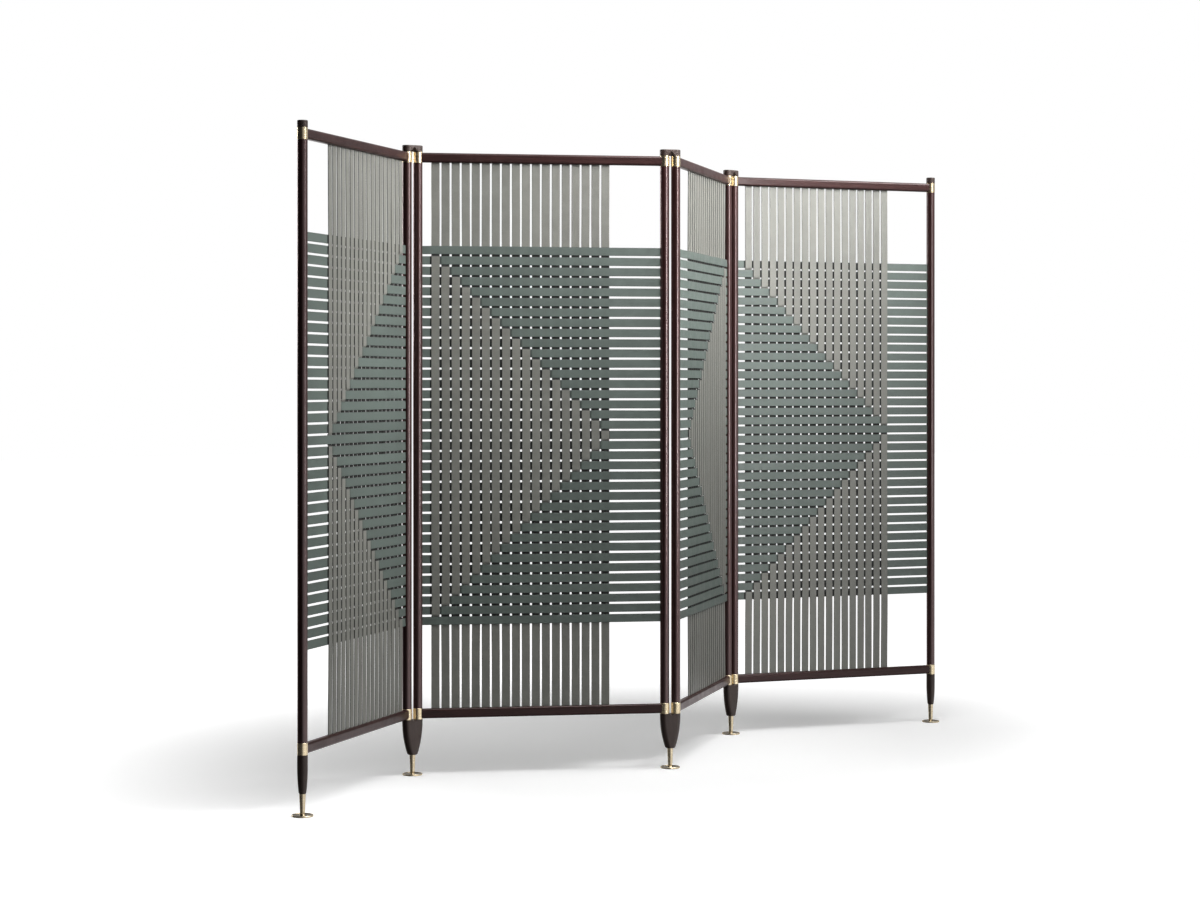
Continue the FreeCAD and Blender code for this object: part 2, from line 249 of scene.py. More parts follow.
def makeBrightSide():
    # how far a ray looks to one of the two bright sides of the studio
    tree, given, result = newGroup(
        "brightSide",
        {"Direction": None, "Front": None, "Back": None},
        ("Share",),
    )
    shares = []
    for side in ("Front", "Back"):
        share = addNode(tree, "ShaderNodeVectorMath", {
            0: given["Direction"], 1: given[side]}, operation="DOT_PRODUCT").outputs["Value"]
        shares.append(ramp(tree, share, start=0.2, end=0.95))
    tree.links.new(compute(tree, "MAXIMUM", *shares), result["Share"])
    return tree


stainedGrain = makeStainedGrain()
handledWear = makeHandledWear()
turnedLines = makeTurnedLines()
hideGrain = makeHideGrain()
strapForm = makeStrapForm()
brightSide = makeBrightSide()
print("shader groups ready")


# stained wood of the posts, rails, caps and feet

wood = {
    "post": {"dark": paint(27, 15, 14), "light": paint(50, 30, 28), "pore": paint(13, 8, 7),
             "fibreSize": 0.0022, "fibreLength": 26.0, "gloss": 0.30, "matt": 0.38,
             "coat": 1.0, "relief": 0.08, "specular": 0.7, "sheen": (1.0, 0.74, 0.74, 1.0)},
    "rail": {"dark": paint(36, 21, 20), "light": paint(64, 40, 38), "pore": paint(17, 10, 9),
             "fibreSize": 0.0022, "fibreLength": 26.0, "gloss": 0.32, "matt": 0.42,
             "coat": 0.28, "relief": 0.10, "specular": 0.22, "sheen": (1.0, 0.74, 0.74, 1.0)},
    "cap": {"dark": paint(32, 22, 19), "light": paint(58, 42, 37), "pore": paint(18, 11, 10),
            "fibreSize": 0.0020, "fibreLength": 14.0, "gloss": 0.42, "matt": 0.55,
            "coat": 0.12, "relief": 0.14, "specular": 0.6, "sheen": (1.0, 0.88, 0.84, 1.0)},
    "foot": {"dark": paint(31, 21, 18), "light": paint(57, 41, 36), "pore": paint(18, 11, 10),
             "fibreSize": 0.0020, "fibreLength": 20.0, "gloss": 0.40, "matt": 0.54,
             "coat": 0.14, "relief": 0.14, "specular": 0.6, "sheen": (1.0, 0.88, 0.84, 1.0)},
    "batten": {"dark": paint(60, 42, 34), "light": paint(96, 70, 56), "pore": paint(34, 22, 18),
               "fibreSize": 0.0024, "fibreLength": 20.0, "gloss": 0.55, "matt": 0.7,
               "coat": 0.0, "relief": 0.2, "specular": 0.5, "sheen": (1.0, 1.0, 1.0, 1.0)},
}
woodFinish = {"patchSize": 0.07, "speckSize": 0.0011, "streakShare": 0.55, "figureShare": 0.45,
              "poreShare": 0.7, "poreRough": 0.12, "streakHeight": 0.35, "reliefDepth": 0.0004,
              "coatRough": 0.15}


def stainedWood(name, look, **mapping):
    material, tree, shader = newMaterial(name)
    vector = objectCoordinates(tree, **mapping)
    grain = useGroup(tree, stainedGrain, {
        "Vector": vector, "Fibre Size": look["fibreSize"], "Fibre Length": look["fibreLength"]})
    wear = useGroup(tree, handledWear, {
        "Vector": vector, "Patch Size": woodFinish["patchSize"], "Speck Size": woodFinish["speckSize"]})
    share = compute(tree, "ADD", scaled(tree, grain["Streaks"], woodFinish["streakShare"]),
                    scaled(tree, grain["Figure"], woodFinish["figureShare"]))
    colour = blendColour(tree, share, look["dark"], look["light"])
    colour = blendColour(tree, scaled(tree, grain["Pores"], woodFinish["poreShare"]), colour, look["pore"])
    rough = ramp(tree, wear["Smudges"], 0.0, 1.0, low=look["gloss"], high=look["matt"])
    rough = compute(tree, "ADD", rough, scaled(tree, grain["Pores"], woodFinish["poreRough"]), clamp=True)
    ridges = scaled(tree, grain["Streaks"], woodFinish["streakHeight"])
    height = compute(tree, "SUBTRACT", ridges, grain["Pores"])
    bump = addNode(tree, "ShaderNodeBump", {
        "Height": height, "Strength": look["relief"], "Distance": woodFinish["reliefDepth"]})
    tree.links.new(colour, shader.inputs["Base Color"])
    tree.links.new(rough, shader.inputs["Roughness"])
    tree.links.new(bump.outputs["Normal"], shader.inputs["Normal"])
    shader.inputs["Coat Weight"].default_value = look["coat"]
    shader.inputs["Coat Roughness"].default_value = woodFinish["coatRough"]
    shader.inputs["Coat Tint"].default_value = look["sheen"]
    shader.inputs["Specular Tint"].default_value = look["sheen"]
    shader.inputs["Specular IOR Level"].default_value = look["specular"]
    return material


# brass of the collars and glides, and the hidden steel and plastic

metal = {
    "collar": {"dark": paint(214, 192, 152), "light": paint(242, 226, 194), "lineSize": 0.00035,
               "gloss": 0.22, "matt": 0.27, "relief": 0.04},
    "glide": {"dark": paint(194, 174, 140), "light": paint(226, 212, 184), "lineSize": 0.00045,
              "gloss": 0.22, "matt": 0.28, "relief": 0.05,
              # the hollow of the disc is painted darker, as painted shade
              "dishShade": {"colour": paint(104, 90, 64), "share": 0.8, "radius": (0.0278, 0.0296),
                       "height": (0.0037, 0.0052)}},
    "steel": {"dark": paint(120, 122, 124), "light": paint(176, 178, 180), "lineSize": 0.0004,
              "gloss": 0.28, "matt": 0.42, "relief": 0.08},
}
metalFinish = {"patchSize": 0.02, "speckSize": 0.0009, "lightShare": 0.6, "bandShare": 0.35,
               "smudgeShare": 0.3, "speckShare": 0.3, "lineRough": 0.05, "reliefDepth": 0.0002}
washerLook = {"dark": paint(52, 50, 48), "light": paint(74, 72, 69), "rough": 0.55, "smudgeRough": 0.15,
              "patchSize": 0.01, "speckSize": 0.0006, "relief": 0.2, "reliefDepth": 0.0002}


def turnedMetal(name, look, **mapping):
    material, tree, shader = newMaterial(name)
    vector = objectCoordinates(tree, **mapping)
    lines = useGroup(tree, turnedLines, {"Vector": vector, "Line Size": look["lineSize"]})
    wear = useGroup(tree, handledWear, {
        "Vector": objectCoordinates(tree),
        "Patch Size": metalFinish["patchSize"], "Speck Size": metalFinish["speckSize"]})
    bands = scaled(tree, lines["Bands"], metalFinish["bandShare"])
    share = compute(tree, "ADD", bands, metalFinish["lightShare"])
    share = compute(
        tree, "SUBTRACT", share, scaled(tree, wear["Smudges"], metalFinish["smudgeShare"]), clamp=True)
    colour = blendColour(tree, share, look["dark"], look["light"])
    specks = scaled(tree, wear["Specks"], metalFinish["speckShare"])
    colour = blendColour(tree, specks, colour, look["dark"])
    if "dishShade" in look:
        # the brass is painted darker in the hollow of a disc, as painted shade
        dishShade = look["dishShade"]
        parts = addNode(tree, "ShaderNodeSeparateXYZ", {0: vector}).outputs
        spot = addNode(tree, "ShaderNodeCombineXYZ", {"X": parts["X"], "Y": parts["Y"]}).outputs[0]
        radius = addNode(tree, "ShaderNodeVectorMath", {0: spot}, operation="LENGTH").outputs["Value"]
        inside = compute(tree, "MULTIPLY", ramp(tree, radius, *dishShade["radius"], low=1.0, high=0.0),
                         ramp(tree, parts["Z"], *dishShade["height"], low=1.0, high=0.0))
        colour = blendColour(tree, scaled(tree, inside, dishShade["share"]), colour, dishShade["colour"])
    rough = ramp(tree, wear["Smudges"], 0.0, 1.0, low=look["gloss"], high=look["matt"])
    rough = compute(tree, "ADD", rough, scaled(tree, lines["Lines"], metalFinish["lineRough"]))
    bump = addNode(tree, "ShaderNodeBump", {
        "Height": lines["Lines"], "Strength": look["relief"], "Distance": metalFinish["reliefDepth"]})
    tree.links.new(colour, shader.inputs["Base Color"])
    tree.links.new(rough, shader.inputs["Roughness"])
    tree.links.new(bump.outputs["Normal"], shader.inputs["Normal"])
    shader.inputs["Metallic"].default_value = 1.0
    return material


def washerPlastic(look):
    material, tree, shader = newMaterial("washerPlastic")
    wear = useGroup(tree, handledWear, {
        "Vector": objectCoordinates(tree),
        "Patch Size": look["patchSize"], "Speck Size": look["speckSize"]})
    colour = blendColour(tree, wear["Smudges"], look["dark"], look["light"])
    tree.links.new(colour, shader.inputs["Base Color"])
    rough = compute(tree, "ADD", scaled(tree, wear["Smudges"], look["smudgeRough"]), look["rough"])
    tree.links.new(rough, shader.inputs["Roughness"])
    bump = addNode(tree, "ShaderNodeBump", {
        "Height": wear["Specks"], "Strength": look["relief"], "Distance": look["reliefDepth"]})
    tree.links.new(bump.outputs["Normal"], shader.inputs["Normal"])
    return material


# leather of the straps

# in both leathers the darkest colour is painted shade, laid where a strap runs behind another and in its
# bends
leather = {
    # the edge colour darkens a strap's sides partly as dyed leather edges, partly as painted shade, and
    # darkens its creases
    "upright": {"dark": paint(131, 131, 125), "light": paint(146, 146, 139), "edge": paint(24, 24, 23),
                "weaveShade": paint(13, 13, 12), "pebbleSize": 0.0010, "mottleSize": 0.045,
                "gloss": 0.38, "matt": 0.52, "relief": 0.16, "edgeShare": 0.07,
                "shadedBend": 1.0, "openBend": 0.0},
    "level": {"dark": paint(99, 109, 104), "light": paint(112, 124, 118), "edge": paint(20, 22, 21),
              "weaveShade": paint(11, 13, 12), "pebbleSize": 0.0010, "mottleSize": 0.045,
              "gloss": 0.38, "matt": 0.52, "relief": 0.16, "edgeShare": 0.07,
              "shadedBend": 0.5, "openBend": 0.4},
}
leatherFinish = {"toneShare": 0.5, "mottleShare": 0.5, "creaseShare": 0.1, "edgeDark": 0.95,
                 "weaveShadeDark": 0.95, "tuckedRough": 0.25, "creaseDepth": 0.6, "reliefDepth": 0.0003,
                 "specular": 0.45}


def strapLeather(name, look):
    material, tree, shader = newMaterial(name)
    hide = useGroup(tree, hideGrain, {
        "Vector": objectCoordinates(tree),
        "Pebble Size": look["pebbleSize"], "Mottle Size": look["mottleSize"]})
    form = useGroup(tree, strapForm, {
        "Edge Share": look["edgeShare"], "Shaded Bend": look["shadedBend"], "Open Bend": look["openBend"]})
    share = compute(tree, "ADD", scaled(tree, form["Tone"], leatherFinish["toneShare"]),
                    scaled(tree, hide["Mottle"], leatherFinish["mottleShare"]), clamp=True)
    colour = blendColour(tree, share, look["dark"], look["light"])
    for mask, strength, shade in (
        # the sides darken partly as dyed leather edges, partly as painted shade; the creases darken with
        # the same colour
        (hide["Creases"], "creaseShare", "edge"), (form["Edge"], "edgeDark", "edge"),
        # painted shade where a strap runs behind another and in its bends
        (form["Weave Shade"], "weaveShadeDark", "weaveShade"),
    ):
        colour = blendColour(tree, scaled(tree, mask, leatherFinish[strength]), colour, look[shade])
    rough = ramp(tree, hide["Mottle"], 0.0, 1.0, low=look["gloss"], high=look["matt"])
    dulled = scaled(tree, form["Weave Shade"], leatherFinish["tuckedRough"])
    rough = compute(tree, "ADD", rough, dulled, clamp=True)
    dents = scaled(tree, hide["Creases"], leatherFinish["creaseDepth"])
    height = compute(tree, "SUBTRACT", hide["Pebbles"], dents)
    bump = addNode(tree, "ShaderNodeBump", {
        "Height": height, "Strength": look["relief"], "Distance": leatherFinish["reliefDepth"]})
    tree.links.new(colour, shader.inputs["Base Color"])
    tree.links.new(rough, shader.inputs["Roughness"])
    tree.links.new(bump.outputs["Normal"], shader.inputs["Normal"])
    shader.inputs["Specular IOR Level"].default_value = leatherFinish["specular"]
    return material


# each panel's own frame, read from its posts

def middle(name):
    low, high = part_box(name)
    return (low + high) / 2


def panelFrame(number):
    left = middle(f"left_post_{number}")
    right = middle(f"right_post_{number}")
    left.z = right.z = 0.0
    along = (right - left).normalized()
    return {
        "left": left,
        "along": along,
        "front": Vector((along.y, -along.x, 0.0)),
        "heading": math.atan2(along.y, along.x),
        "width": (right - left).length,
    }


def reachAlong(name, panel):
    places = [(vertex.co - panel["left"]).dot(panel["along"]) for vertex in nodes[name].data.vertices]
    return min(places), max(places)


panelFrames = {number: panelFrame(number) for number in panels}


def dressNode(name, material):
    for holder in nodes[name].material_slots:
        holder.material = material


def dressFrame():
    # this scale takes the rings of collars and pins by height alone
    heightOnly = (1e6, 1e6, 1.0)
    postWood = stainedWood("postWood", wood["post"])
    capWood = stainedWood("capWood", wood["cap"])
    footWood = stainedWood("footWood", wood["foot"])
    battenWood = stainedWood("battenWood", wood["batten"])
    collarBrass = turnedMetal("collarBrass", metal["collar"], scale=heightOnly)
    steel = turnedMetal("pinSteel", metal["steel"], scale=heightOnly)
    plastic = washerPlastic(washerLook)
    for number in panels:
        heading = panelFrames[number]["heading"]
        railWood = stainedWood(f"railWood{number}", wood["rail"], rotation=(0.0, math.pi / 2, heading))
        for name in (f"left_post_{number}", f"right_post_{number}"):
            dressNode(name, postWood)
        for name in (f"bottom_rail_{number}", f"top_rail_{number}"):
            dressNode(name, railWood)
        dressNode(f"collars_{number}", collarBrass)
        dressNode(f"rail_studs_{number}", steel)
        dressNode(f"strap_battens_{number}", battenWood)
    for joint in joints:
        dressNode(f"double_cap_{joint}", capWood)
        dressNode(f"double_foot_{joint}", footWood)
        dressNode(f"pivot_pins_{joint}", steel)
        dressNode(f"thrust_washers_{joint}", plastic)
    for end in rowEnds:
        dressNode(f"end_cap_{end}", capWood)
        dressNode(f"end_foot_{end}", footWood)
        dressNode(f"end_pins_{end}", steel)
    for number in glides:
        centre = middle(f"levelling_glide_{number}")
        dressNode(f"levelling_glide_{number}", turnedMetal(
            f"glideBrass{number}", metal["glide"], location=(centre.x, centre.y, 0.0)))


dressFrame()
print("frame dressed")


# the woven straps: a tree sweeps a rounded flat section along each strap's path

strap = {
    "columns": 18,
    "rows": 37,
    "width": 0.0264,
    "thickness": 0.0025,
    "edgeRadius": 0.0009,
    "edgeSteps": 3,
    "bendReach": 0.0012,
    "bendSteps": 6,
    "layerOffset": 0.00145,
    "tailInPost": 0.008,
    "crossedFade": 0.0012,
    "edgeShadow": 0.0042,
    "flatGuard": 0.004,
    # how much painted shade a strap takes in a bend where it dips behind another
    "bendHides": {"upright": 0.0, "level": 0.7},
    "wander": {"upright": 0.0014, "level": 0.0006},
    "wanderSize": 0.28,
    "wanderGain": 4.0,
    "toneSpread": 91.0,
    "pathStep": 0.09,
    "seed": 37,
    "uprightsLead": {1: False, 2: True, 3: True, 4: False},
}


def makeStrapSection():
    # half the width is across, half the thickness is facing; close points keep the flat faces flat
    halfWidth = strap["width"] / 2
    halfThickness = strap["thickness"] / 2
    radius = strap["edgeRadius"]
    points = []
    for quarter, (sideX, sideY) in enumerate(((1, 1), (-1, 1), (-1, -1), (1, -1))):
        centre = Vector((sideX * (halfWidth - radius), sideY * (halfThickness - radius), 0.0))
        corner = []
        for count in range(strap["edgeSteps"] + 1):
            angle = math.pi / 2 * (quarter + count / strap["edgeSteps"])
            corner.append(centre + radius * Vector((math.cos(angle), math.sin(angle), 0.0)))
        guard = Vector((-sideX * radius, 0.0, 0.0))
        points += corner + [corner[-1] + guard] if quarter % 2 == 0 else [corner[0] + guard] + corner
    mesh = bpy.data.meshes.new("strapSection")
    edges = [(index, (index + 1) % len(points)) for index in range(len(points))]
    mesh.from_pydata(points, edges, [])
    section = bpy.data.objects.new("strapSection", mesh)
    bpy.context.scene.collection.objects.link(section)
    return section


def makeStrapTree():
    tree = bpy.data.node_groups.new("strapSet", "GeometryNodeTree")
    tree.is_modifier = True
    face = tree.interface
    face.new_socket("Geometry", in_out="INPUT", socket_type="NodeSocketGeometry")
    face.new_socket("Section", in_out="INPUT", socket_type="NodeSocketObject")
    for label in ("Width", "Thickness", "Wander", "Wander Size"):
        face.new_socket(label, in_out="INPUT", socket_type="NodeSocketFloat")
    face.new_socket("Seed", in_out="INPUT", socket_type="NodeSocketInt")
    face.new_socket("Leather", in_out="INPUT", socket_type="NodeSocketMaterial")
    face.new_socket("Geometry", in_out="OUTPUT", socket_type="NodeSocketGeometry")
    given = tree.nodes.new("NodeGroupInput").outputs
    result = tree.nodes.new("NodeGroupOutput").inputs

    def stored(name, kind):
        node = addNode(tree, "GeometryNodeInputNamedAttribute", {"Name": name}, data_type=kind)
        return node.outputs["Attribute"]

    # the section, with its place across and its facing kept as attributes
    position = addNode(tree, "GeometryNodeInputPosition").outputs[0]
    place = addNode(tree, "ShaderNodeSeparateXYZ", {0: position}).outputs
    shape = addNode(tree, "GeometryNodeObjectInfo", {"Object": given["Section"]}).outputs["Geometry"]
    for label, axis, size in (("across", "X", "Width"), ("facing", "Y", "Thickness")):
        value = compute(tree, "DIVIDE", place[axis], scaled(tree, given[size], 0.5))
        shape = addNode(tree, "GeometryNodeStoreNamedAttribute",
                        {"Geometry": shape, "Name": label, "Value": value},
                        data_type="FLOAT", domain="POINT").outputs["Geometry"]
    section = addNode(tree, "GeometryNodeMeshToCurve", {"Mesh": shape}).outputs["Curve"]

    # the paths, with a slight wander of hand-fitted straps
    path = addNode(tree, "GeometryNodeMeshToCurve", {"Mesh": given["Geometry"]}).outputs["Curve"]
    ownPlace = scaled(tree, stored("tone", "FLOAT"), strap["toneSpread"])
    drift = addNode(tree, "ShaderNodeTexNoise", {
        "Vector": position, "W": compute(tree, "ADD", ownPlace, given["Seed"]), "Detail": 1.0,
        "Scale": compute(tree, "DIVIDE", 1.0, given["Wander Size"])}, noise_dimensions="4D").outputs["Fac"]
    reach = scaled(tree, given["Wander"], strap["wanderGain"])
    drift = compute(tree, "MULTIPLY", compute(tree, "SUBTRACT", drift, 0.5), reach)
    drift = compute(tree, "MULTIPLY", drift, stored("free", "FLOAT"))
    sideways = stored("sideways", "FLOAT_VECTOR")
    shift = addNode(
        tree, "ShaderNodeVectorMath", {0: sideways, "Scale": drift}, operation="SCALE").outputs[0]
    path = addNode(tree, "GeometryNodeSetPosition", {"Geometry": path, "Offset": shift}).outputs["Geometry"]
    path = addNode(tree, "GeometryNodeSetCurveNormal", {
        "Curve": path, "Normal": sideways}, mode="FREE").outputs["Curve"]
    band = addNode(tree, "GeometryNodeCurveToMesh", {
        "Curve": path, "Profile Curve": section, "Fill Caps": True}).outputs["Mesh"]
    band = addNode(tree, "GeometryNodeSetShadeSmooth", {"Geometry": band}).outputs["Geometry"]
    band = addNode(tree, "GeometryNodeRealizeInstances", {"Geometry": band}).outputs["Geometry"]
    band = addNode(tree, "GeometryNodeSetMaterial", {
        "Geometry": band, "Material": given["Leather"]}).outputs["Geometry"]
    tree.links.new(band, result["Geometry"])
    return tree


def weaveOf(number):
    # where the columns and rows of a panel's straps lie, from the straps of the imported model
    panel = panelFrames[number]
    uprights = f"vertical_straps_{number}"
    levels = f"horizontal_straps_{number}"
    half = strap["width"] / 2
    first, last = reachAlong(uprights, panel)
    spacing = (last - first - strap["width"]) / (strap["columns"] - 1)
    columns = [first + half + spacing * count for count in range(strap["columns"])]
    if first > panel["width"] - last:
        columns.reverse()  # the triangle's base is at the right post
    low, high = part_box(levels)
    pitch = (high.z - low.z - strap["width"]) / (strap["rows"] - 1)
    rows = [high.z - half - pitch * count for count in range(strap["rows"])]
    bottom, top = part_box(uprights)
    return {
        "columns": columns,
        "rows": rows,
        "uprightEnds": (bottom.z, top.z),
        "levelEnds": reachAlong(levels, panel),
    }


def uprightInFront(number, column, row):
    inside = column < row <= strap["rows"] - column
    return inside == strap["uprightsLead"][number]


def strapBend(leave, arrive, layer, hides):
    # a soft change from one layer to the other, in the shadow of the strap above it or to its right;
    # the outer points keep its shading off the flat runs
    start = leave - strap["bendReach"]
    end = arrive + strap["bendReach"]
    last = strap["bendSteps"]
    points = [(start - strap["flatGuard"], layer, 1.0, 0.0, 1.0)]
    for count in range(last + 1):
        share = count / last
        crossed, between = (hides, layer) if 0 < count < last else (1.0, 0.0)
        depth = layer * math.cos(math.pi * share)
        points.append((start + (end - start) * share, depth, crossed, between, 1.0))
    return points + [(end + strap["flatGuard"], -layer, 1.0, 0.0, 1.0)]


def strapPath(ends, crossings, upright):
    # a strap's points as (place, layer, crossed, between, free): its depth from -1 behind to 1 in front,
    # whether another strap is there, the side of a bend, and whether it may wander; flat at both ends
    start, end = ends
    tail = strap["tailInPost"]
    half = strap["width"] / 2
    fade = strap["crossedFade"]
    hides = strap["bendHides"]["upright" if upright else "level"]
    firstEdge = crossings[0][0] - half
    lastEdge = crossings[-1][0] + half
    points = [(start, 0.0, 0.0, 0.0, 0.0), (start + tail, 0.0, 0.0, 0.0, 0.0)]
    # a level strap is in shadow a little before it goes behind the first upright
    shadow = 0.0 if upright or crossings[0][1] > 0.0 else strap["edgeShadow"]
    for place, crossed in ((firstEdge - shadow - fade, 0.0), (firstEdge - shadow, 1.0)):
        easing = (place - start - tail) / (firstEdge - start - tail)
        points.append((place, crossings[0][1] * easing, crossed, 0.0, 1.0))
    points.append((firstEdge + strap["flatGuard"], crossings[0][1], 1.0, 0.0, 1.0))
    for (place, layer), (nextPlace, nextLayer) in zip(crossings, crossings[1:]):
        if layer != nextLayer:
            points += strapBend(place + half, nextPlace - half, layer, hides)
    points += [(lastEdge - step, crossings[-1][1], 1.0, 0.0, 1.0) for step in (strap["flatGuard"], 0.0)]
    easing = 1.0 - fade / (end - tail - lastEdge)
    points.append((lastEdge + fade, crossings[-1][1] * easing, 0.0, 0.0, 1.0))
    points += [(end - tail, 0.0, 0.0, 0.0, 0.0), (end, 0.0, 0.0, 0.0, 0.0)]
    return points


def dividePath(points):
    # long runs get points between, for the wander to act on
    divided = [points[0]]
    for before, after in zip(points, points[1:]):
        steps = max(1, math.ceil((after[0] - before[0]) / strap["pathStep"]))
        for count in range(1, steps + 1):
            share = count / steps
            divided.append(tuple(a + (b - a) * share for a, b in zip(before, after)))
    return divided


def strapLines(number, upright):
    # the paths of one panel's upright or level straps, as (points, sideways direction, tone)
    panel = panelFrames[number]
    weave = weaveOf(number)
    draw = random.Random(strap["seed"] + number * 10 + int(upright))
    lines = []
    places = weave["columns"] if upright else weave["rows"]
    for count, place in enumerate(places, 1):
        crossings = []
        others = weave["rows"] if upright else weave["columns"]
        for index, other in enumerate(others, 1):
            column, row = (count, index) if upright else (index, count)
            inFront = uprightInFront(number, column, row) == upright
            crossings.append((other, 1.0 if inFront else -1.0))
        crossings.sort()
        path = dividePath(strapPath(weave["uprightEnds" if upright else "levelEnds"], crossings, upright))
        points = []
        for travel, layer, *marks in path:
            across, height = (place, travel) if upright else (travel, place)
            spot = panel["left"] + panel["along"] * across + panel["front"] * (layer * strap["layerOffset"])
            points.append((spot + Vector((0.0, 0.0, height)), layer, *marks))
        sideways = -panel["along"] if upright else Vector((0.0, 0.0, 1.0))
        lines.append((points, sideways, draw.random()))
    return lines


def linesObject(name, lines):
    marks = ("layer", "crossed", "between", "free", "tone")
    vertices, edges, values, directions = [], [], {key: [] for key in marks}, []
    for points, sideways, tone in lines:
        first = len(vertices)
        for spot, *numbers in points:
            vertices.append(spot)
            for key, value in zip(marks, (*numbers, tone)):
                values[key].append(value)
            directions += list(sideways)
        edges += [(index, index + 1) for index in range(first, len(vertices) - 1)]
    mesh = bpy.data.meshes.new(name)
    mesh.from_pydata(vertices, edges, [])
    for key in marks:
        mesh.attributes.new(key, "FLOAT", "POINT").data.foreach_set("value", values[key])
    mesh.attributes.new("sideways", "FLOAT_VECTOR", "POINT").data.foreach_set("vector", directions)
    lineWork = bpy.data.objects.new(name, mesh)
    bpy.context.scene.collection.objects.link(lineWork)
    return lineWork


def plainMesh(source, name):
    # the evaluated result as an object of its own, faces outwards
    depsgraph = bpy.context.evaluated_depsgraph_get()
    mesh = bpy.data.meshes.new_from_object(
        source.evaluated_get(depsgraph), preserve_all_data_layers=True, depsgraph=depsgraph)
    mesh.name = name
    shape = bmesh.new()
    shape.from_mesh(mesh)
    bmesh.ops.recalc_face_normals(shape, faces=shape.faces)
    shape.to_mesh(mesh)
    shape.free()
    piece = bpy.data.objects.new(name, mesh)
    bpy.context.scene.collection.objects.link(piece)
    bpy.data.objects.remove(source)
    return piece


def weaveStraps():
    tree = makeStrapTree()
    section = makeStrapSection()
    sockets = {item.name: item.identifier for item in tree.interface.items_tree if item.in_out == "INPUT"}
    finishes = {True: strapLeather("uprightLeather", leather["upright"]),
                False: strapLeather("levelLeather", leather["level"])}
    for number in panels:
        for upright in (True, False):
            name = f"{'upright' if upright else 'level'}Straps{number}"
            source = linesObject(name + "Lines", strapLines(number, upright))
            modifier = source.modifiers.new("strapSet", "NODES")
            modifier.node_group = tree
            for label, value in (
                ("Section", section), ("Width", strap["width"]), ("Thickness", strap["thickness"]),
                ("Wander", strap["wander"]["upright" if upright else "level"]),
                ("Wander Size", strap["wanderSize"]), ("Seed", strap["seed"]),
                ("Leather", finishes[upright]),
            ):
                modifier[sockets[label]] = value
            piece = plainMesh(source, name)
            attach(piece, f"panel_{number}")
            if upright:
                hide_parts(f"vertical_straps_{number}")
            else:
                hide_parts(f"horizontal_straps_{number}")
            print(name, len(piece.data.polygons), "faces")
    bpy.data.objects.remove(section)


weaveStraps()
print("straps woven")


# floor, light and camera

studio = {
    "cameraPlace": (-5.9208, -5.9272, 1.2431),
    "cameraYaw": -44.372,
    "lens": 75.86,
    "sensorWidth": 36.0,
    "shiftDown": 0.0552,
    "floorSize": 60.0,
    "floorColour": paint(232, 232, 232),
    "floorBounce": paint(165, 165, 165),
    "floorMirrored": paint(112, 112, 112),
    "floorRough": 0.9,
    "floorSpecular": 0.1,
    "glowNear": 0.29,
    "glowFar": 1.0,
    "glowReach": (0.8, 2.5),
    "glowCentre": (0.25, 0.1, 0.0),
    "glossShare": 0.9,
    "ambient": 0.06,
    "glossDim": 0.02,
    "glossBright": 0.45,
    "brightSides": {"Front": (0.421, -0.901, 0.1), "Back": (0.702, 0.702, 0.12)},
    "lamps": (
        {"name": "overheadSoftbox", "place": (0.2, -0.9, 3.9), "aim": (0.2, -0.75, 0.0), "size": (3.2, 1.6),
         "spread": 180.0, "watts": 60.0, "diffuse": True, "glossy": True},
        {"name": "floorSoftbox", "place": (0.1, -2.0, 3.6), "aim": (0.1, -2.0, 0.0), "size": (4.8, 1.8),
         "spread": 45.0, "watts": 22.0, "diffuse": True, "glossy": False},
        {"name": "rightSoftbox", "place": (1.35, -1.0, 2.6), "aim": (0.75, 0.08, 1.75), "size": (1.0, 0.6),
         "spread": 85.0, "watts": 10.0, "diffuse": True, "glossy": True},
        {"name": "middleSoftbox", "place": (-0.2, -1.0, 2.6), "aim": (-0.25, 0.0, 1.55), "size": (1.0, 0.6),
         "spread": 115.0, "watts": 9.0, "diffuse": True, "glossy": True},
        {"name": "leftSoftbox", "place": (-1.3, -0.8, 2.6), "aim": (-1.15, 0.1, 1.75), "size": (1.0, 0.6),
         "spread": 80.0, "watts": 0.8, "diffuse": True, "glossy": True},
        {"name": "crossSoftbox", "place": (1.2, -1.6, 2.8), "aim": (-1.1, 0.05, 1.3), "size": (0.8, 0.8),
         "spread": 50.0, "watts": 2.8, "diffuse": True, "glossy": False},
        {"name": "frontStrip", "place": (0.75, -4.9, 1.8), "aim": (0.15, 0.0, 1.45), "size": (0.6, 2.6),
         "spread": 46.0, "watts": 8.4, "diffuse": False, "glossy": True},
        {"name": "backSoftbox", "place": (-0.5, 9.0, 1.35), "aim": (0.0, 0.0, 1.15), "size": (2.4, 1.6),
         "spread": 40.0, "watts": 38.0, "diffuse": True, "glossy": False},
        {"name": "backStrip", "place": (-1.5, 4.4, 2.4), "aim": (0.0, 0.0, 1.4), "size": (0.6, 2.0),
         "spread": 60.0, "watts": 7.0, "diffuse": False, "glossy": True},
    ),
}


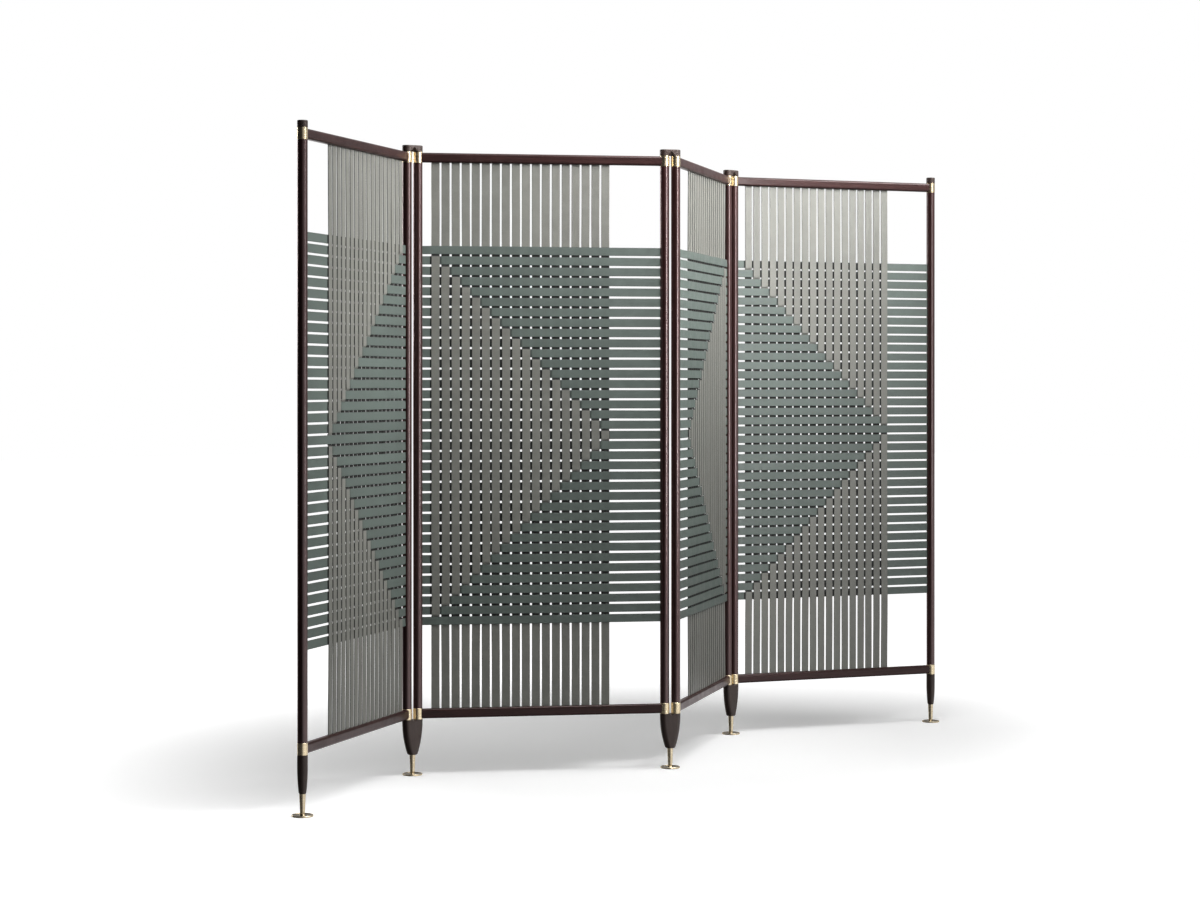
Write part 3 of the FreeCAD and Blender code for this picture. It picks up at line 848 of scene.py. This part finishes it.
def makeFloor():
    half = studio["floorSize"] / 2
    mesh = bpy.data.meshes.new("floor")
    corners = [(-half, -half, 0), (half, -half, 0), (half, half, 0), (-half, half, 0)]
    mesh.from_pydata(corners, [], [(0, 1, 2, 3)])
    floor = bpy.data.objects.new("floor", mesh)
    bpy.context.scene.collection.objects.link(floor)
    material, tree, shader = newMaterial("floorPaper")
    shader.inputs["Roughness"].default_value = studio["floorRough"]
    shader.inputs["Specular IOR Level"].default_value = studio["floorSpecular"]
    # the paper is darker to bounce light and to glossy rays; it glows white to the camera, less near the
    # object where the lamps light it, and to glossy rays most towards the two bright sides of the studio, a
    # glow that stands in for those sides in reflections
    paths = addNode(tree, "ShaderNodeLightPath").outputs
    paper = blendColour(tree, paths["Is Diffuse Ray"], studio["floorColour"], studio["floorBounce"])
    paper = blendColour(tree, paths["Is Glossy Ray"], paper, studio["floorMirrored"])
    tree.links.new(paper, shader.inputs["Base Color"])
    back = addNode(tree, "ShaderNodeNewGeometry").outputs["Incoming"]
    onward = addNode(tree, "ShaderNodeVectorMath", {0: back, "Scale": -1.0}, operation="SCALE").outputs[0]
    side = useGroup(tree, brightSide, {"Direction": onward, **studio["brightSides"]})
    mirrored = compute(
        tree, "MULTIPLY", paths["Is Glossy Ray"], scaled(tree, side["Share"], studio["glossShare"]))
    seen = compute(tree, "ADD", paths["Is Camera Ray"], mirrored, clamp=True)
    distance = addNode(tree, "ShaderNodeVectorMath", {
        0: objectCoordinates(tree), 1: studio["glowCentre"]}, operation="DISTANCE").outputs["Value"]
    strength = ramp(tree, distance, *studio["glowReach"], low=studio["glowNear"], high=studio["glowFar"])
    strength = compute(tree, "MAXIMUM", strength, paths["Is Glossy Ray"])
    glow = addNode(tree, "ShaderNodeEmission", {
        "Color": (1.0, 1.0, 1.0, 1.0), "Strength": compute(tree, "MULTIPLY", seen, strength)})
    total = addNode(tree, "ShaderNodeAddShader", {0: shader.outputs[0], 1: glow.outputs[0]})
    tree.links.new(total.outputs[0], tree.nodes["Material Output"].inputs["Surface"])
    mesh.materials.append(material)


def makeWorld():
    # white where the camera looks, a soft fill for the rest, and for gloss two bright sides in a dim room
    world = bpy.data.worlds.new("studio")
    bpy.context.scene.world = world
    world.use_nodes = True
    tree = world.node_tree
    background = tree.nodes["Background"]
    direction = addNode(tree, "ShaderNodeTexCoord").outputs["Generated"]
    side = useGroup(tree, brightSide, {"Direction": direction, **studio["brightSides"]})
    gloss = ramp(tree, side["Share"], 0.0, 1.0, low=studio["glossDim"], high=studio["glossBright"])
    paths = addNode(tree, "ShaderNodeLightPath").outputs
    seen = compute(tree, "ADD", paths["Is Camera Ray"], paths["Is Transmission Ray"], clamp=True)
    soft = addNode(tree, "ShaderNodeMix", {0: paths["Is Glossy Ray"], 2: studio["ambient"], 3: gloss},
                   data_type="FLOAT").outputs[0]
    strength = addNode(tree, "ShaderNodeMix", {0: seen, 2: soft, 3: 1.0}, data_type="FLOAT").outputs[0]
    background.inputs["Color"].default_value = (1.0, 1.0, 1.0, 1.0)
    tree.links.new(strength, background.inputs["Strength"])


def makeLamps():
    for item in studio["lamps"]:
        data = bpy.data.lights.new(item["name"], "AREA")
        data.shape = "RECTANGLE"
        data.size, data.size_y = item["size"]
        data.spread = math.radians(item["spread"])
        data.energy = item["watts"]
        lamp = bpy.data.objects.new(item["name"], data)
        lamp.visible_diffuse = item["diffuse"]
        lamp.visible_glossy = item["glossy"]
        lamp.location = item["place"]
        aim = Vector(item["aim"]) - lamp.location
        lamp.rotation_euler = aim.to_track_quat("-Z", "Y").to_euler()
        bpy.context.scene.collection.objects.link(lamp)


def makeCamera():
    data = bpy.data.cameras.new("camera")
    data.sensor_width = studio["sensorWidth"]
    data.lens = studio["lens"]
    data.shift_y = -studio["shiftDown"]
    camera = bpy.data.objects.new("camera", data)
    camera.location = studio["cameraPlace"]
    camera.rotation_euler = (math.pi / 2, 0.0, math.radians(studio["cameraYaw"]))
    bpy.context.scene.collection.objects.link(camera)
    bpy.context.scene.camera = camera


makeFloor()
makeWorld()
makeLamps()
makeCamera()
bpy.context.scene.view_settings.view_transform = "Standard"
print("studio set")
